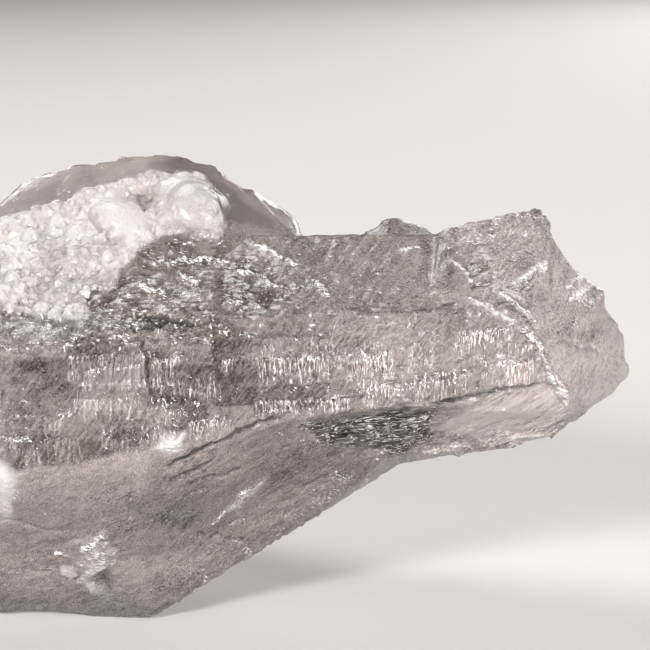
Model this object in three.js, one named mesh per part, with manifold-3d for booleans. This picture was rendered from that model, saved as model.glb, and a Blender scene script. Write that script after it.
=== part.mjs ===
// A raw quartz crystal lying on its broken foot: one solid piece of rock crystal, 150 mm long.
// Millimetres, +Z up. +X runs along the crystal from its root to its broken tip, and the striated prism face
// looks towards -Y. The origin is on the surface it rests on, under the middle of its outline.
//
// The crystal is drawn as a mineralogist would describe it: five blocks that grew together, each a convex set of
// flat faces, with shell-shaped (conchoidal) fractures struck out of them and a milky crust of low knobs on top.
import * as THREE from "three";
import { ConvexGeometry } from "three/addons/geometries/ConvexGeometry.js";
import { mergeVertices } from "three/addons/utils/BufferGeometryUtils.js";
import Module from "manifold-3d";

const wasm = await Module();
wasm.setup();

// Driving dimensions.
const ROOT_X = -75; // the end that sat on the rock
const TIP_X = 75; // the broken end
const CREST_Z = 74.4; // the highest point
const FRONT_Y = -27; // the foremost edge
const BACK_Y = 27; // the rearmost edge
const SOLE_Z = 0; // the flat fracture that it rests on
const SCOOP_FACET = 3.5; // the size of the flats that make up a curved fracture
const KNOB_DETAIL = 1; // subdivisions of a knob's icosahedron
const MIN_EDGE = 1e-3; // vertices closer than this are one

// The prism: two long edges frame its striated front face, and the rest closes it round the back.
const PRISM_CORNERS = [
  // lower front edge
  [-60, -19, 27],
  [-26, FRONT_Y, 29.9],
  [-3, FRONT_Y, 33.6],
  [39.6, -21, 38],
  // upper front edge
  [-60, -17, 47],
  [-26, -24, 50],
  [0, -24, 52.2],
  [46.6, -17, 55.2],
  // top ridge
  [-58, 2, 57],
  [-36, -1, 61.5],
  [27.2, -3, 62.5],
  [45, -3, 62.4],
  [54, -11, 51],
  // upper back edge
  [-60, 16, 50],
  [-12, 22, 54],
  [44, 15, 53],
  // widest line of the back
  [-62, 19, 28],
  [-6, 20, 33],
  [48, 15, 40],
  // lower back edge
  [-56, 16, SOLE_Z],
  [-6, 14, SOLE_Z],
  [38, 15, 25.5],
  // foot and the long lower right edge
  [-56, -10, SOLE_Z],
  [-4.9, -14, SOLE_Z],
  [36.5, -8, 24.9],
  [46, -6, 34],
  // root
  [-72, -10, 38],
  [ROOT_X, 2, 30],
  [-72, 14, 36],
  [-70, -6, 15],
  [-69, 12, 12],
  [-68, 2, 52],
];

// The crest: a second crystal behind the prism, grown up through it.
const CREST_CORNERS = [
  [-36, -1, 60],
  [-29.1, 0, 66.9],
  [-25.5, 4, 70.3],
  [-16.6, 6, 72.8],
  [-3.5, 8, CREST_Z],
  [0, 8, 74.1],
  [6.2, 7, 71.9],
  [9.9, 6, 69.2],
  [18.5, 6, 64.3],
  [19.8, 5, 62.4],
  [20, 0, 61],
  [-30, -17, 51],
  [-6, -18, 52],
  [9, -12, 56],
  [-34, 13, 54],
  [-14, 18, 54],
  [4, 17, 53],
  [17, 14, 53],
  [-10, 0, 40],
];

// The tip: the block that carries the broken termination.
const TIP_CORNERS = [
  [42.6, -4, 63.2],
  [58.9, -2, 66.6],
  [59.8, -1.5, 65.6],
  [46, 9, 60],
  [58, 8, 62],
  [40, -17.2, 55],
  [46.6, -17.5, 55.2],
  [56.2, -16.5, 51],
  [59.4, -16.5, 46.5],
  [58.8, -16.8, 41.4],
  [43, -19.4, 46.8],
  [39.6, -21, 38.2],
  [34, -20.8, 37.8],
  [64.4, -13, 35.6],
  [70.3, -1, 52.3],
  [73.9, 0, 44],
  [TIP_X, 0, 39.7],
  [TIP_X, 0, 38.1],
  [71.8, -2, 35.4],
  [64.6, -5, 31.3],
  [60.8, -7, 28.9],
  [50.3, -8, 27.1],
  [40.5, -8, 25.9],
  [36.5, -8, 25],
  [68, 8, 48],
  [67, 9, 39],
  [58, 12, 34],
  [42, 13, 28],
  [44, 14, 50],
];

// The twin: a slimmer crystal that grew along the back, with its own pointed end.
const TWIN_CORNERS = [
  [-64, 13, 12],
  [-66, 15, 21],
  [-60, 17, 32],
  [-52, 15, 42],
  [-34, 23, 15],
  [-30, 26, 27],
  [-30, 21, 39],
  [0, 18, 10],
  [4, 25, 19],
  [2, BACK_Y, 30],
  [-3, 20, 40],
  [23, 17, 32],
  [17, 13, 26],
  [-20, 5, 25],
];

// The peak: a small point that stands up behind the top ridge.
const PEAK_CORNERS = [
  [34.7, 2, 64.7],
  [30.2, 1, 62],
  [37.8, 3, 63],
  [42, 2, 62.2],
  [33, -6, 59.5],
  [39, -5, 59.8],
  [36, 9, 59],
  [35, 0, 55],
];

// Shell-shaped fractures: centre, radii, and the turn about Y in degrees.
const FRACTURES = [
  // the scalloped side of the tip
  { centre: [79.4, 2, 70.6], radii: [20.5, 34, 20.5] },
  { centre: [78.8, -4, 53.5], radii: [9.6, 22, 6.4], turn: -28 },
  { centre: [75.6, -15, 43.5], radii: [13, 6.2, 12] },
  { centre: [64.5, -19.4, 58.5], radii: [9.5, 5.4, 8], turn: 40 },
  // the hollow under the prism's lower front edge
  { centre: [35, -24.6, 34.8], radii: [19, 7.6, 4.6], turn: -5 },
  // the broad flake off the lower right
  { centre: [46, -110, -25], radii: [110, 110, 110] },
  // the step down from the prism's top to the tip
  { centre: [50, -20.5, 63], radii: [5.2, 9.8, 9.5], turn: 24 },
  { centre: [27, -18, 71.5], radii: [22, 14, 9.4], turn: 0 },
  // the recess over the foot
  { centre: [-25, -17.5, -3.2], radii: [17.5, 8.6, 5.4] },
  // the wide flake off the lower left
  { centre: [-51, -30, 9], radii: [26, 18, 17], turn: 12 },
  // the underside of the overhang
  { centre: [30, 8, -2.5], radii: [30, 26, 15], turn: -30 },
  { centre: [60, 4, 22], radii: [15, 14, 7.6], turn: -24 },
  // the back
  { centre: [30, 30, 50], radii: [24, 14.5, 14], turn: -8 },
  { centre: [-34, 33, 60], radii: [26, 16, 13], turn: 10 },
  { centre: [-40, 38, 10], radii: [22, 18, 13], turn: -10 },
  { centre: [62, 22, 54], radii: [14, 12, 13] },
  { centre: [-72, 34, 8], radii: [24, 20, 19], turn: 10 },
  // the root, where it was struck off the rock
  { centre: [-84, -14, 50], radii: [20, 18, 16], turn: 20 },
  { centre: [-86, 8, 16], radii: [19, 20, 15], turn: -15 },
  { centre: [-80, 24, 44], radii: [17, 14, 14] },
  { centre: [-62, -6, 70], radii: [20, 18, 13.5], turn: 10 },
];

// The milky crust's larger knobs: centre and radii.
const KNOBS = [
  { centre: [3.2, 2, 63.6], radii: [6.2, 6.8, 6.4] },
  { centre: [-8.8, -0.3, 61.2], radii: [8, 6.6, 6.6] },
  { centre: [-15.7, -5.5, 55.9], radii: [8, 6.5, 6.5] },
  { centre: [-17.2, -12.7, 51.1], radii: [7, 6.5, 6.4] },
  { centre: [-24.8, -10.5, 51.8], radii: [8, 6.8, 6.6] },
  { centre: [-36, -8, 52.4], radii: [9, 7, 6.6] },
  { centre: [-47, -6, 51.8], radii: [9, 7, 6.4] },
];

// A closed three.js geometry as a manifold-3d solid.
function solidFrom(geometry) {
  geometry.deleteAttribute("normal");
  geometry.deleteAttribute("uv");
  const merged = mergeVertices(geometry, MIN_EDGE);
  return new wasm.Manifold(
    new wasm.Mesh({
      numProp: 3,
      vertProperties: new Float32Array(merged.attributes.position.array),
      triVerts: new Uint32Array(merged.index.array),
    }),
  );
}

// The convex block whose corners are these points.
function block(corners) {
  return solidFrom(
    new ConvexGeometry(corners.map((c) => new THREE.Vector3(...c))),
  );
}

// A unit sphere made into an ellipsoid and turned about Y.
function ellipsoid(geometry, { centre, radii, turn = 0 }) {
  geometry.scale(...radii);
  geometry.rotateY(THREE.MathUtils.degToRad(turn));
  geometry.translate(...centre);
  return solidFrom(geometry);
}

function geometryFrom(solid) {
  const mesh = solid.getMesh();
  const geometry = new THREE.BufferGeometry();
  geometry.setAttribute(
    "position",
    new THREE.BufferAttribute(mesh.vertProperties, mesh.numProp),
  );
  geometry.setIndex(new THREE.BufferAttribute(mesh.triVerts, 1));
  geometry.computeVertexNormals();
  return geometry;
}

function crystalSolid() {
  let solid = block(PRISM_CORNERS)
    .add(block(CREST_CORNERS))
    .add(block(TIP_CORNERS))
    .add(block(TWIN_CORNERS))
    .add(block(PEAK_CORNERS));
  for (const fracture of FRACTURES) {
    const girth = 2 * Math.PI * Math.max(...fracture.radii);
    const segments = Math.ceil(girth / SCOOP_FACET);
    const sphere = new THREE.SphereGeometry(1, segments, Math.ceil(segments / 2));
    solid = solid.subtract(ellipsoid(sphere, fracture));
  }
  for (const knob of KNOBS) {
    const lump = new THREE.IcosahedronGeometry(1, KNOB_DETAIL);
    solid = solid.add(ellipsoid(lump, knob));
  }
  return solid;
}

const quartz = new THREE.MeshStandardMaterial({
  color: 0xb3a9a4,
  roughness: 0.25,
  metalness: 0,
  transparent: true,
  opacity: 0.8,
});

const crystal = new THREE.Mesh(geometryFrom(crystalSolid()), quartz);
crystal.name = "crystal";

const part = new THREE.Group();
part.add(crystal);

export default part;
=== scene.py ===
# %% [markdown]
# # A raw quartz crystal, built around a CAD solid
# The stone is one piece of rock crystal, 150 mm long: a striated prism, a second crystal behind it as a
# crest, a broken tip, shell-shaped fractures, and a white sugary crust. The CAD solid gives every flat
# face and every big scoop in its right place. Here the same stone gets what a millimetre hides: growth
# lines, ripples, chips, grains, and the look of faintly smoky quartz with light going through it.

# %% Load the frame
import math
from functools import partial
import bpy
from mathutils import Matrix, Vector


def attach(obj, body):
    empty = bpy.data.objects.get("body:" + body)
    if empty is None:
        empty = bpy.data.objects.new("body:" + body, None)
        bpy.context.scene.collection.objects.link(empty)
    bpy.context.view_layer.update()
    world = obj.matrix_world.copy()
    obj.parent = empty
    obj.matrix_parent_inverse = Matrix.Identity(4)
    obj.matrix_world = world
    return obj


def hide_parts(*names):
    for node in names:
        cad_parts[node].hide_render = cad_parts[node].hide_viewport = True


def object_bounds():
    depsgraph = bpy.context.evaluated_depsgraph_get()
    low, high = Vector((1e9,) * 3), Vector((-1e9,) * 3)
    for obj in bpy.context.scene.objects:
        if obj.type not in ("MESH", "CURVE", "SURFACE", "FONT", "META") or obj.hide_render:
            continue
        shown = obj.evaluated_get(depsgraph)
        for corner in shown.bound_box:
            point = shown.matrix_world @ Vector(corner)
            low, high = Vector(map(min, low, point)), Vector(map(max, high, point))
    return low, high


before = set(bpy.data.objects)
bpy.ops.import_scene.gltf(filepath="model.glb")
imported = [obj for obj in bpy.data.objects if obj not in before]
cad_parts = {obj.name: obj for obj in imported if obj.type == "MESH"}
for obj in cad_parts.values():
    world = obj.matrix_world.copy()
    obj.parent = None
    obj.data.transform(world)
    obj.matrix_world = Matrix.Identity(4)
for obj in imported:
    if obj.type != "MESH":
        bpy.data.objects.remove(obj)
from types import SimpleNamespace
import bmesh
import bpy
import numpy as np
from mathutils import Vector
from mathutils.bvhtree import BVHTree

MM = 0.001
cad_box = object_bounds()
low, high = (np.array(corner) / MM for corner in cad_box)
length, height = high[0] - low[0], high[2] - low[2]
print("the solid is", (high - low).round(1), "mm")

# %% [markdown]
# ## Places on the stone
# A place is given by three fractions of the solid's box: from the root to the tip, from the front to the
# back, and from the sole to the crest. Outlines are drawn on the sight plane, which is the stone as seen
# from the front and 15 degrees above: their two fractions are along the stone and up the sight plane. So
# every feature keeps its place if the solid changes size.

# %% Places
SIGHT_TILT = math.radians(15)
SIGHT = np.array([0, -math.cos(SIGHT_TILT), math.sin(SIGHT_TILT)])  # towards the viewer
SIGHT_UP = np.array([0, math.sin(SIGHT_TILT), math.cos(SIGHT_TILT)])


def spot(along, deep, up):
    """A place in millimetres, from fractions of the solid's box."""
    return low + (high - low) * np.array([along, deep, up])


def along(x):
    """How far from root to tip, 0 to 1."""
    return (x - low[0]) / length


def ramp(value, start, end):
    """A smooth rise from 0 at start to 1 at end."""
    t = np.clip((value - start) / (end - start), 0, 1)
    return t * t * (3 - 2 * t)


def plateau(value, start, full, waning, end):
    """A rise from start to full, and a fall from waning to end."""
    return ramp(value, start, full) * ramp(value, end, waning)


# %% [markdown]
# ## A mesh fine enough for the detail
# The solid has a few thousand large flat triangles, and a relief needs many small ones. A voxel remesh
# turns it into even quads, each vertex is then put back on the nearest point of the solid, and the quads
# of the front are split once, twice or three times. A finer mesh all over would do too, but most of it
# would lie where the stone is plain, and the whole stone is kept under 200,000 triangles.

# %% Remesh, and split where the detail is finest
VOXEL = 1.41  # mm, the size of a quad on the plain faces


def remeshed(mesh, size):
    """The mesh again, as even quads of this size in metres."""
    holder = bpy.data.objects.new("remesh_holder", mesh.copy())
    bpy.context.scene.collection.objects.link(holder)
    step = holder.modifiers.new("even quads", "REMESH")
    step.mode = "VOXEL"
    step.voxel_size = size
    graph = bpy.context.evaluated_depsgraph_get()
    result = bpy.data.meshes.new_from_object(holder.evaluated_get(graph))
    bpy.data.objects.remove(holder)
    return result


def split(mesh, chosen, crosswise=False):
    """Cuts in half the edges of the chosen faces, or only those that run along the stone."""
    work = bmesh.new()
    work.from_mesh(mesh)
    edges = {edge for face in work.faces if chosen(face) for edge in face.edges}
    if crosswise:
        edges = {edge for edge in edges if runs_along(edge)}
    bmesh.ops.subdivide_edges(work, edges=list(edges), cuts=1, use_grid_fill=True)
    work.to_mesh(mesh)
    work.free()


def runs_along(edge):
    """Edges that run from the root towards the tip."""
    run = edge.verts[1].co - edge.verts[0].co
    return abs(run.x) > abs(run.z) + abs(run.y)


def seen(face):
    """Faces that look forwards or up."""
    return face.normal.dot(SIGHT) > 0.25


WINDOWS = [
    # parts of the sight plane with cracks, chips or crust: from and to along the stone, then up the plane
    (0.63, 0.95, 0.31, 0.47),
    (0.48, 0.63, 0.29, 0.43),
    (0.78, 0.97, 0.47, 0.78),
    (0.28, 0.42, 0.62, 0.88),
    (0.42, 0.56, 0.78, 0.95),
    (0.36, 0.46, 0.0, 0.16),
]


def detailed(face):
    """The striated face, the shoulder above it, and the windows."""
    middle = face.calc_center_median() / MM
    share, rise = along(middle.x), middle.dot(Vector(SIGHT_UP)) / height
    if share < 0.28 or share > 0.97:
        return False
    normal = face.normal
    if normal.dot(SIGHT) > 0.25 and any(a < share < b and c < rise < d for a, b, c, d in WINDOWS):
        return True
    striated = normal.y < -0.88 and normal.z > -0.12
    return striated or normal.z > 0.75 and normal.y < -0.2 and 0.42 < share < 0.8


def striated(face):
    """Faces of the prism that carry growth lines, which are finest across their run."""
    share = along(face.calc_center_median().x / MM)
    return face.normal.y < -0.93 and -0.06 < face.normal.z < 0.35 and 0.3 < share < 0.9


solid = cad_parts["crystal"].data
stone_mesh = remeshed(solid, VOXEL * MM)
split(stone_mesh, seen)
split(stone_mesh, detailed)
split(stone_mesh, striated, crosswise=True)
print("triangles:", sum(len(p.vertices) - 2 for p in stone_mesh.polygons))


# %% Put each vertex back on the solid
def solid_tree(mesh):
    """The CAD solid as a search tree, in millimetres."""
    corners = [Vector(v.co) / MM for v in mesh.vertices]
    return BVHTree.FromPolygons(corners, [list(p.vertices) for p in mesh.polygons])


def snapped(rough, tree):
    """Each point moved to the solid, and the solid's normal there."""
    hits = [tree.find_nearest(Vector(p)) for p in rough]
    return np.array([h[0] for h in hits]), np.array([h[1] for h in hits])


rough = np.array([v.co for v in stone_mesh.vertices]) / MM
points, facing = snapped(rough, solid_tree(solid))
edges = np.array([e.vertices for e in stone_mesh.edges])
x, _, z = points.T
_, ny, nz = facing.T
flat = np.stack([x, points @ SIGHT_UP], -1)  # each vertex on the sight plane, mm
print("vertices:", len(points))

# %% [markdown]
# ## Noise in numpy
# Blender has noise of its own, one point at a time. The stone has about a hundred thousand points and
# thirty reliefs, so two small array functions are quicker: smooth clouds, and cells round scattered
# seeds. Both use a hash of the grid cell instead of a random generator, so the stone is the same in every
# run.


# %% Clouds and cells
def hashed(cell, seed):
    """A repeatable random number from 0 to 1 for each cell of a grid."""
    mixed = cell @ np.array([374761393, 668265263, 1103515245]) + seed * 974634777
    mixed = (mixed ^ (mixed >> 13)) * 1274126177 & 0xFFFFFFFF
    return ((mixed ^ (mixed >> 16)) & 0xFFFF) / 0xFFFF


def lots(seed, *numbers):
    """A repeatable random number from 0 to 1 for each whole number, or for each pair of them."""
    nought = np.zeros_like(numbers[0])
    return hashed(np.stack([*numbers, nought, nought][:3], -1).astype(np.int64), seed)


def clouds(where, size, seed=0, octaves=1):
    """Smooth noise from -1 to 1 with lumps of this size; each octave is half as large and as strong."""
    total, strength, size = 0, 1, np.asarray(size, float)
    for octave in range(octaves):
        place = where / size
        cell = np.floor(place).astype(np.int64)
        t = place - cell
        t = t * t * (3 - 2 * t)
        for corner in np.ndindex(2, 2, 2):
            weight = np.prod(np.where(corner, t, 1 - t), axis=-1)
            total = total + strength * weight * (2 * hashed(cell + corner, seed + octave) - 1)
        size, strength = size / 2, strength / 2
    return total


def cells(where, size, seed=0):
    """How far the two nearest of many scattered seeds are, in cell sizes, and the first one's number."""
    place = where / np.asarray(size, float)
    home = np.floor(place).astype(np.int64)
    first, second = np.full(len(where), 9.0), np.full(len(where), 9.0)
    number = np.zeros(len(where))
    for step in np.ndindex(3, 3, 3):
        cell = home + np.array(step) - 1
        jitter = np.stack([hashed(cell, seed + k) for k in (1, 2, 3)], axis=-1)
        gap = np.linalg.norm(cell + jitter - place, axis=1)
        nearer = gap < first
        second = np.where(nearer, first, np.minimum(second, gap))
        number = np.where(nearer, hashed(cell, seed + 4), number)
        first = np.where(nearer, gap, first)
    return first, second, number


def ridges(cloud):
    """Turns smooth noise into sharp crests between rounded valleys, 0 to 1."""
    return 1 - np.abs(cloud)


# %% [markdown]
# ## Which face is which
# A relief belongs to one kind of face, so each vertex first learns what it lies on from the solid's
# normal there: the striated prism face looks at the viewer, the shoulder above it slopes back, and the
# rest is fracture.


# %% Masks, 0 to 1 for each vertex
def spread(values, rounds):
    """Values averaged with their neighbours along the mesh's edges."""
    for _ in range(rounds):
        total = np.zeros_like(values)
        count = np.zeros(len(values))
        for a, b in ((0, 1), (1, 0)):
            np.add.at(total, edges[:, a], values[edges[:, b]])
            np.add.at(count, edges[:, a], 1)
        values = total / (count if values.ndim == 1 else count[:, None])
    return values


rise = flat[:, 1] / height  # how far up the sight plane
ahead = ramp(facing @ SIGHT, 0.05, 0.2)  # all that faces the viewer
FACE_BOTTOM = [
    (0.1, 0.29), (0.327, 0.30), (0.39, 0.32), (0.48, 0.35), (0.54, 0.37), (0.6, 0.42), (0.76, 0.43),
    (0.9, 0.48),
]
FACE_TOP = [(0.1, 0.56), (0.327, 0.57), (0.48, 0.6), (0.6, 0.63), (0.8, 0.65), (0.84, 0.63), (0.9, 0.53)]


def line(knots, share):
    """How far up the sight plane a line lies, at each share of the stone's length."""
    u, v = np.array(knots).T
    return np.interp(share, u, v)


share = along(x)
face_zone = ramp(rise, line(FACE_BOTTOM, share) - 0.01, line(FACE_BOTTOM, share) + 0.01)
face_zone *= ramp(rise, line(FACE_TOP, share) + 0.04, line(FACE_TOP, share) + 0.01)
# the striated face, the crest behind the crust, the shoulder, the underside, the tip and the sole
front = ramp(-ny, 0.86, 0.93) * ramp(nz, -0.12, 0.02) * face_zone * ramp(share, 0.93, 0.89)
calm = ahead * ramp(rise, 0.79, 0.83) * ramp(share, 0.68, 0.64)
shoulder = ramp(-ny, 0.2, 0.3) * ramp(nz, 0.7, 0.8) * ramp(share, 0.82, 0.79) * (1 - calm)
underside = ramp(-ny, 0.5, 0.6) * ramp(-nz, 0.1, 0.2)
tip = ramp(share, 0.78, 0.82) * (1 - front) * (1 - shoulder)
sole = ramp(-nz, 0.97, 0.99) * ramp(z, 0.6, 0.2)
normals = spread(facing, 2)
normals /= np.linalg.norm(normals, axis=1)[:, None]
print("striated face:", int(front.sum()), "vertices; shoulder:", int(shoulder.sum()))


# %% [markdown]
# ## Drawing on the stone
# Plates, lobes and cracks have outlines of their own, so two tools draw on the sight plane: one measures
# how far inside an outline each vertex lies, the other how far from a path. Both give millimetres, and
# the ragged copy of the plane makes every drawn edge as uneven as a break.


# %% Paths on the sight plane
def ragged_plane(size, reach, seed):
    """The sight plane with every place shifted a little, so that edges drawn on it are uneven."""
    return flat + reach * np.stack([clouds(points, size, seed, 2), clouds(points, size, seed + 5, 2)], -1)


def drawn(knots):
    """Fractions of the sight plane as millimetres."""
    return np.array(knots) * [length, height] + [low[0], 0]


def close_to(path, plane, reach):
    """The vertices within reach of a path's box, and not on the far side of the stone."""
    near = (plane > path.min(0) - reach).all(1) & (plane < path.max(0) + reach).all(1)
    return np.flatnonzero(near & (ahead > 0))


def beside(knots, plane, reach=4.0):
    """How far each vertex is from a path, on which side (above is positive), and how far along it."""
    path = drawn(knots)
    away, side, done = np.full(len(flat), 99.0), np.ones(len(flat)), np.zeros(len(flat))
    near = close_to(path, plane, reach)
    place = plane[near]
    count = len(path) - 1
    for number, (start, end) in enumerate(zip(path, path[1:])):
        run = end - start
        t = np.clip((place - start) @ run / (run @ run), 0, 1)
        gap = place - start - t[:, None] * run
        distance = np.hypot(gap[:, 0], gap[:, 1])
        closer = distance < away[near]
        chosen = near[closer]
        away[chosen] = distance[closer]
        side[chosen] = np.sign(run[0] * gap[closer, 1] - run[1] * gap[closer, 0])
        done[chosen] = (number + t[closer]) / count
    return away, side, done


# %% Outlines, patches and grooves
def inside(knots, plane):
    """How far inside a closed outline each vertex lies, and below zero outside it."""
    away, _, _ = beside(list(knots) + [knots[0]], plane)
    path = drawn(list(knots) + [knots[0]])
    near = close_to(path, plane, 0.0)
    u, v = plane[near].T
    within = np.zeros(len(near), bool)
    for start, end in zip(path, path[1:]):
        crosses = (start[1] > v) != (end[1] > v)
        at = start[0] + (v - start[1]) * (end[0] - start[0]) / (end[1] - start[1] + 1e-9)
        within ^= crosses & (u < at)
    signed = -away
    signed[near[within]] *= -1
    return signed


def patch(knots, plane, soft=0.3):
    """1 inside an outline and 0 outside it, with an edge this soft."""
    return ramp(inside(knots, plane), -soft, soft) * ahead


def groove(knots, plane, width):
    """1 on a path, falling to 0 at this width on either side, and thin at its ends."""
    away, _, done = beside(knots, plane)
    taper = plateau(done, -0.02, 0.12, 0.88, 1.02)
    return ramp(away, width, 0) * taper * ahead


fine_plane = ragged_plane(1.6, 0.35, 301)
rough_plane = ragged_plane(4, 1.1, 311)
print("drawn edges stray by up to", np.abs(rough_plane - flat).max().round(2), "mm")

# %% [markdown]
# ## Broad unevenness
# No face of a real crystal is quite flat, and a broken one least of all. A swell of a few tenths of a
# millimetre, in lumps of 15 and 5 mm, takes the machined look off the solid. The striated face and the
# smooth crest keep most of their flatness, because they grew and did not break.

# %% Broad unevenness
relief = np.zeros(len(points))
broad = 0.25 * clouds(points, 15, 1) + 0.12 * clouds(points, 5, 2, 2)
relief += broad * (1 - 0.75 * front) * (1 - 0.8 * calm)
print("broad unevenness, mm:", broad.min().round(2), "to", broad.max().round(2))

# %% [markdown]
# ## Growth lines on the prism face
# Quartz grows its prism faces in thin plates, and each plate ends in a comb of short upright steps. So
# the face gets oblong plates at slightly different heights, and rows of ticks under a millimetre apart,
# each row hanging from the plate above it like a fringe.

# %% Plates
PLATES = [
    # outline and how far it stands proud of the face, mm
    ([(0.328, 0.475), (0.354, 0.479), (0.374, 0.484), (0.405, 0.484), (0.406, 0.451), (0.399, 0.419),
      (0.327, 0.413)], -0.25),
    ([(0.434, 0.405), (0.476, 0.409), (0.481, 0.393), (0.479, 0.368), (0.455, 0.366),
      (0.436, 0.372)], -0.3),
    ([(0.717, 0.48), (0.738, 0.494), (0.774, 0.519), (0.811, 0.538), (0.816, 0.506), (0.78, 0.488),
      (0.738, 0.473)], -0.25),
    ([(0.573, 0.626), (0.634, 0.632), (0.67, 0.624), (0.665, 0.584), (0.624, 0.582),
      (0.578, 0.58)], -0.35),
    ([(0.578, 0.481), (0.624, 0.483), (0.665, 0.478), (0.66, 0.453), (0.624, 0.447),
      (0.583, 0.445)], -0.25),
    ([(0.48, 0.543), (0.482, 0.574), (0.504, 0.574), (0.51, 0.55), (0.497, 0.529)], -0.3),
    ([(0.408, 0.482), (0.449, 0.484), (0.449, 0.446), (0.43, 0.436), (0.41, 0.446)], 0.2),
    ([(0.492, 0.461), (0.517, 0.461), (0.532, 0.45), (0.527, 0.419), (0.496, 0.43)], -0.35),
]


def oblongs(long, tall, seed):
    """Oblong plates in staggered rows, with a random number for each."""
    wobble = clouds(points, (9, 9, 9), seed, 1) + 0.15 * clouds(points, (1.2, 1.2, 1.2), seed + 3, 1)
    climb = flat[:, 1] - 0.06 * (x - low[0])
    row = np.floor(climb / tall + 0.4 * wobble)
    start = lots(seed, row)
    column = np.floor(x / long + 5 * start + 0.3 * wobble)
    return lots(seed + 1, column, row)


large_plates, small_plates = oblongs(7.5, 3.4, 11), oblongs(4.4, 2.3, 12)
growth = 0.34 * (large_plates - 0.5) + 0.22 * (small_plates - 0.5)
sunken = np.zeros(len(points))
for outline, proud in PLATES:
    area = patch(outline, fine_plane, 0.2)
    growth = growth * (1 - 0.8 * area) + proud * area
    sunken = np.maximum(sunken, area * (proud < 0))
print("plates on the face:", len(PLATES))

# %% Rows of ticks
TICK_ROWS = [
    # path along the row, half its height in mm, how deep its steps are in mm
    ([(0.4, 0.504), (0.425, 0.506), (0.451, 0.508), (0.477, 0.51)], 1.9, 0.3),
    ([(0.396, 0.475), (0.41, 0.473)], 1.8, 0.3),
    ([(0.404, 0.43), (0.43, 0.428), (0.456, 0.432), (0.481, 0.434)], 1.2, 0.25),
    ([(0.353, 0.401), (0.373, 0.399), (0.391, 0.395)], 1.1, 0.35),
    ([(0.383, 0.343), (0.401, 0.341), (0.419, 0.343)], 1.6, 0.6),
    ([(0.43, 0.355), (0.448, 0.357), (0.481, 0.366)], 1.6, 0.35),
    ([(0.481, 0.418), (0.512, 0.415)], 1.0, 0.45),
    ([(0.482, 0.504), (0.507, 0.5), (0.532, 0.49), (0.558, 0.489), (0.578, 0.495)], 2.2, 0.5),
    ([(0.578, 0.504), (0.609, 0.506), (0.634, 0.51), (0.665, 0.511)], 1.6, 0.35),
    ([(0.519, 0.384), (0.537, 0.388), (0.554, 0.398)], 1.1, 0.6),
    ([(0.588, 0.427), (0.624, 0.43), (0.655, 0.432), (0.686, 0.436)], 1.2, 0.35),
    ([(0.691, 0.499), (0.717, 0.511), (0.743, 0.526), (0.776, 0.542)], 1.7, 0.5),
    ([(0.701, 0.448), (0.738, 0.458), (0.774, 0.471), (0.811, 0.481)], 1.5, 0.4),
    ([(0.795, 0.553), (0.821, 0.555), (0.843, 0.559), (0.858, 0.563)], 1.9, 0.4),
    ([(0.859, 0.538), (0.885, 0.539)], 1.6, 0.25),
    ([(0.811, 0.479), (0.843, 0.493), (0.875, 0.506), (0.891, 0.514)], 1.3, 0.2),
    ([(0.326, 0.326), (0.352, 0.328), (0.378, 0.334)], 2.2, 0.3),
    ([(0.14, 0.45), (0.2, 0.455), (0.26, 0.46), (0.31, 0.455)], 2.0, 0.4),
    ([(0.16, 0.38), (0.22, 0.38), (0.29, 0.385)], 1.8, 0.4),
]
TICK_PITCH = 0.82  # mm


def fringe(path, tall, seed):
    """A comb of steps that hangs from a path: 1 above and on its teeth, 0 between and below them."""
    away, side, done = beside(path, flat, 2 * tall)
    up = away * side
    drift = clouds(points, (3, 3, 9), seed, 2)
    turns = x / TICK_PITCH + 1.5 * drift
    tooth = np.floor(turns)
    long = lots(seed, tooth)
    shape = 1 - np.abs(2 * (turns - tooth) - 1) ** 1.5
    reach = tall * (1.1 - (0.5 + 1.6 * long) * shape)
    within = ramp(away, 1.6 * tall, 1.2 * tall)
    ends = plateau(done, 0.0, 0.03, 0.97, 1.0)
    strength = 0.25 + 0.75 * lots(seed + 1, tooth)
    comb = ramp(up, reach - 0.35, reach + 0.1) * 0.6 + 0.4 * shape * strength
    return comb * within * ends, shape * strength


ticks, teeth = np.zeros(len(points)), np.zeros(len(points))
worn = ramp(clouds(points, (3, 3, 6), 440, 2), -0.7, 0.2)
for number, (path, tall, deep) in enumerate(TICK_ROWS):
    row, tooth = fringe(path, tall, 400 + number)
    growth += 0.75 * deep * worn * (row - 0.5 * (row > 0))
    ticks = np.maximum(ticks, np.minimum(row * 3, 1) * worn)
    teeth = np.maximum(teeth, np.minimum(row * 3, 1) * worn * tooth)
relief += growth * front
print("growth relief, mm:", np.ptp(growth[front > 0.5]).round(2))
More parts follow.
